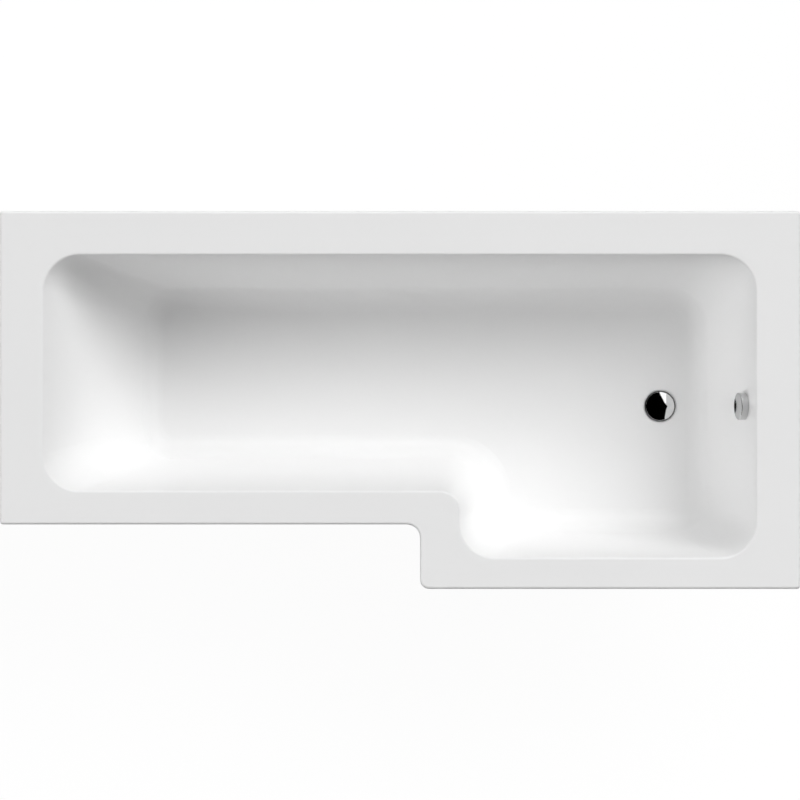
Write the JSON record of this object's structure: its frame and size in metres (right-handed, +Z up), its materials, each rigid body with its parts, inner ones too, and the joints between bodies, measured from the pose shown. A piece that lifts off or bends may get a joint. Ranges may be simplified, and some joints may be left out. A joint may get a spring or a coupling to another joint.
{
  "type": "l-shaped shower bath",
  "caption": "L-shaped acrylic shower bath with flat rim, sloping backrest, press plug, overflow, ribbed hose, timber battens, wall brackets and a cradle with threaded feet.",
  "frame": {"origin": "on the floor, under the middle of the rim's box", "axes": "+X from the sloping head end to the waste end, +Y to the wall behind the bath, +Z up"},
  "size_m": [1.8, 0.85, 0.55],
  "materials": {
    "acrylic": "polished white acrylic sheet",
    "glassfibre": "rough chopped-strand resin layer",
    "chipboard": "raw pressed wood board",
    "timber": "sawn softwood",
    "galvanised_sheet": "galvanised sheet steel",
    "zinc_plate": "bright zinc plate",
    "chrome": "polished chrome plate",
    "rubber": "moulded black rubber",
    "white_plastic": "moulded white polypropylene",
    "core_plastic": "moulded black polypropylene",
    "hose_plastic": "ribbed white polypropylene hose",
    "brass": "turned brass",
    "spring_steel": "drawn stainless wire",
    "foot_plastic": "moulded black nylon"
  },
  "bodies": {
    "bath": {"acrylic_shell": "acrylic", "glassfibre_backing": "glassfibre", "base_board": "chipboard", "back_rim_batten": "timber", "front_rim_batten": "timber", "wide_front_rim_batten": "timber", "head_rim_batten": "timber", "foot_rim_batten": "timber", "head_cradle_rail": "galvanised_sheet", "middle_cradle_rail": "galvanised_sheet", "foot_cradle_rail": "galvanised_sheet", "head_wall_bracket": "galvanised_sheet", "middle_wall_bracket": "galvanised_sheet", "foot_wall_bracket": "galvanised_sheet", "lock_nuts": "zinc_plate", "adjusting_nuts": "zinc_plate", "rail_screws": "zinc_plate", "bracket_screws": "zinc_plate", "waste_flange": "chrome", "overflow_cap": "chrome", "waste_upper_gasket": "rubber", "waste_lower_gasket": "rubber", "overflow_front_gasket": "rubber", "overflow_rear_gasket": "rubber", "upper_hose_seal": "rubber", "lower_hose_seal": "rubber", "waste_body": "white_plastic", "overflow_elbow": "white_plastic", "upper_coupling_nut": "white_plastic", "lower_coupling_nut": "white_plastic", "overflow_core": "core_plastic", "overflow_hose": "hose_plastic", "press_cartridge": "brass", "plug_spring": "spring_steel"},
    "plug": {"plug_cap": "chrome", "plug_seal": "rubber", "plug_stem": "brass"},
    "head_back_leg": {"head_back_leg_rod": "zinc_plate", "head_back_foot_pad": "foot_plastic"},
    "head_front_leg": {"head_front_leg_rod": "zinc_plate", "head_front_foot_pad": "foot_plastic"},
    "middle_back_leg": {"middle_back_leg_rod": "zinc_plate", "middle_back_foot_pad": "foot_plastic"},
    "middle_front_leg": {"middle_front_leg_rod": "zinc_plate", "middle_front_foot_pad": "foot_plastic"},
    "foot_back_leg": {"foot_back_leg_rod": "zinc_plate", "foot_back_foot_pad": "foot_plastic"},
    "foot_front_leg": {"foot_front_leg_rod": "zinc_plate", "foot_front_foot_pad": "foot_plastic"}
  },
  "joints": [
    {"name": "plug_lift", "type": "slide", "parent": "bath", "child": "plug", "axis": [0, 0, 1], "range_m": [0, 0.01], "deforming": ["plug_spring"]},
    {"name": "head_back_leg_height", "type": "slide", "parent": "bath", "child": "head_back_leg", "axis": [0, 0, 1], "range_m": [-0.03, 0]},
    {"name": "head_front_leg_height", "type": "slide", "parent": "bath", "child": "head_front_leg", "axis": [0, 0, 1], "range_m": [-0.03, 0]},
    {"name": "middle_back_leg_height", "type": "slide", "parent": "bath", "child": "middle_back_leg", "axis": [0, 0, 1], "range_m": [-0.03, 0]},
    {"name": "middle_front_leg_height", "type": "slide", "parent": "bath", "child": "middle_front_leg", "axis": [0, 0, 1], "range_m": [-0.03, 0]},
    {"name": "foot_back_leg_height", "type": "slide", "parent": "bath", "child": "foot_back_leg", "axis": [0, 0, 1], "range_m": [-0.03, 0]},
    {"name": "foot_front_leg_height", "type": "slide", "parent": "bath", "child": "foot_front_leg", "axis": [0, 0, 1], "range_m": [-0.03, 0]}
  ]
}
